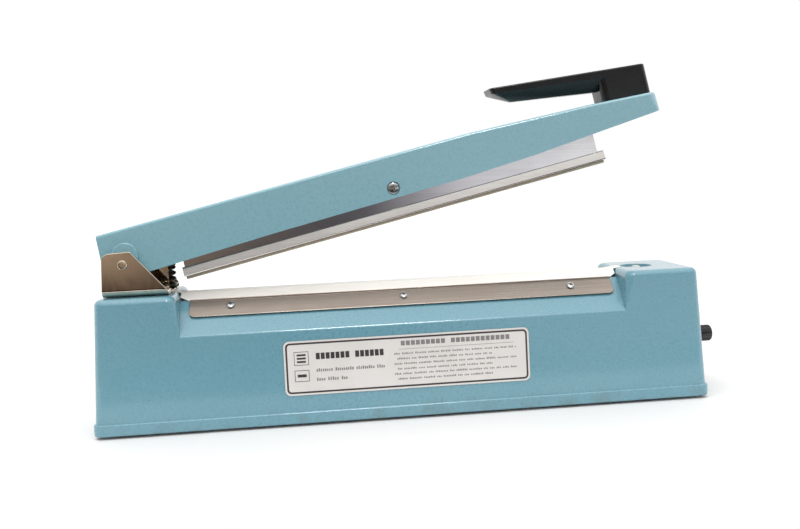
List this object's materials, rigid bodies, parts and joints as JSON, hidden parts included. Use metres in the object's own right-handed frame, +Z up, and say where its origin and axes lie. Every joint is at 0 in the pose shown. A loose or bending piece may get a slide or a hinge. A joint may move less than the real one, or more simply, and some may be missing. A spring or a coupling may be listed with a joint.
{
  "type": "impulse heat sealer",
  "caption": "Hand-operated impulse heat sealer: hollow cast base with a cloth-covered sealing bar, and a sprung hinged arm with a handle that presses a rubber-faced bar onto it.",
  "frame": {"origin": "middle of the bounding box's footprint, at the height the feet stand on, with the arm at its open rest", "axes": "+X along the machine from the hinge to the knob, -Y towards the side that carries the label plate, +Z up"},
  "size_m": [0.469, 0.084, 0.2514],
  "materials": {
    "painted_casting": "satin",
    "aluminium_extrusion": "satin",
    "stainless_sheet": "polished",
    "nickel_plate": "polished",
    "zinc_steel": "satin",
    "spring_steel": "satin",
    "brass": "satin",
    "nichrome": "satin",
    "copper_winding": "satin",
    "lamination_steel": "matte",
    "black_plastic": "satin",
    "ptfe_cloth": "satin",
    "glass_cloth": "matte",
    "silicone_rubber": "matte",
    "black_rubber": "matte",
    "circuit_board": "satin",
    "phenolic": "satin",
    "lamp_lens": "gloss",
    "label_stock": "satin"
  },
  "bodies": {
    "base": {"base_housing": "painted_casting", "sealing_bar": "aluminium_extrusion", "clamp_front": "stainless_sheet", "clamp_back": "stainless_sheet", "hinge_bracket": "nickel_plate", "spring_guard": "nickel_plate", "bottom_plate": "zinc_steel", "plate_screw_1": "zinc_steel", "plate_screw_2": "zinc_steel", "plate_screw_3": "zinc_steel", "plate_screw_4": "zinc_steel", "clamp_screw_front_1": "zinc_steel", "clamp_screw_front_2": "zinc_steel", "clamp_screw_front_3": "zinc_steel", "clamp_screw_back_1": "zinc_steel", "clamp_screw_back_2": "zinc_steel", "clamp_screw_back_3": "zinc_steel", "bracket_screw_1": "zinc_steel", "bracket_screw_2": "zinc_steel", "bracket_screw_3": "zinc_steel", "bracket_screw_4": "zinc_steel", "hinge_pin": "zinc_steel", "potentiometer": "zinc_steel", "switch_bracket": "zinc_steel", "transformer_strap": "zinc_steel", "return_spring": "spring_steel", "spring_anchor_screw": "spring_steel", "element_terminal_left": "brass", "element_terminal_right": "brass", "heating_element": "nichrome", "transformer_coil": "copper_winding", "transformer_core": "lamination_steel", "micro_switch": "black_plastic", "relay": "black_plastic", "capacitor": "black_plastic", "lamp_holder": "black_plastic", "ptfe_cloth": "ptfe_cloth", "bar_underlay": "glass_cloth", "foot_1": "black_rubber", "foot_2": "black_rubber", "foot_3": "black_rubber", "foot_4": "black_rubber", "cord_grommet": "black_rubber", "timer_board": "circuit_board", "terminal_insulator_left": "phenolic", "terminal_insulator_right": "phenolic", "lamp_lens": "lamp_lens", "label_plate": "label_stock"},
    "arm": {"arm_casting": "painted_casting", "handle": "black_plastic", "handle_screw_1": "zinc_steel", "handle_screw_2": "zinc_steel", "pivot_screw": "zinc_steel", "pivot_spacer_front": "aluminium_extrusion", "pivot_spacer_back": "aluminium_extrusion"},
    "press_bar": {"press_bar": "aluminium_extrusion", "silicone_strip": "silicone_rubber"},
    "knob": {"timer_knob": "black_plastic", "timer_shaft": "brass"},
    "plunger": {"switch_plunger": "black_plastic"}
  },
  "joints": [
    {"name": "arm_hinge", "type": "hinge", "parent": "base", "child": "arm", "pos_m": [-0.2085, 0, 0.1214], "axis": [0, 1, 0], "range_deg": [0, 12.8], "stiffness_Nm_per_rad": 2, "springref_deg": -51.57, "deforming": ["return_spring"]},
    {"name": "press_bar_pivot", "type": "hinge", "parent": "arm", "child": "press_bar", "pos_m": [-0.01369, 0, 0.16669], "axis": [0, 1, 0], "range_deg": [-0.15, 0.15]},
    {"name": "timer_knob", "type": "hinge", "parent": "base", "child": "knob", "pos_m": [0.225, 0, 0.0413], "axis": [1, 0, 0], "range_deg": [0, 270]},
    {"name": "plunger_slide", "type": "slide", "parent": "base", "child": "plunger", "axis": [0, 0, 1], "range_m": [-0.0035, 0]}
  ],
  "couplings": [
    {"joint": "plunger_slide", "follows": "arm_hinge", "m_per_rad": -0.014}
  ]
}
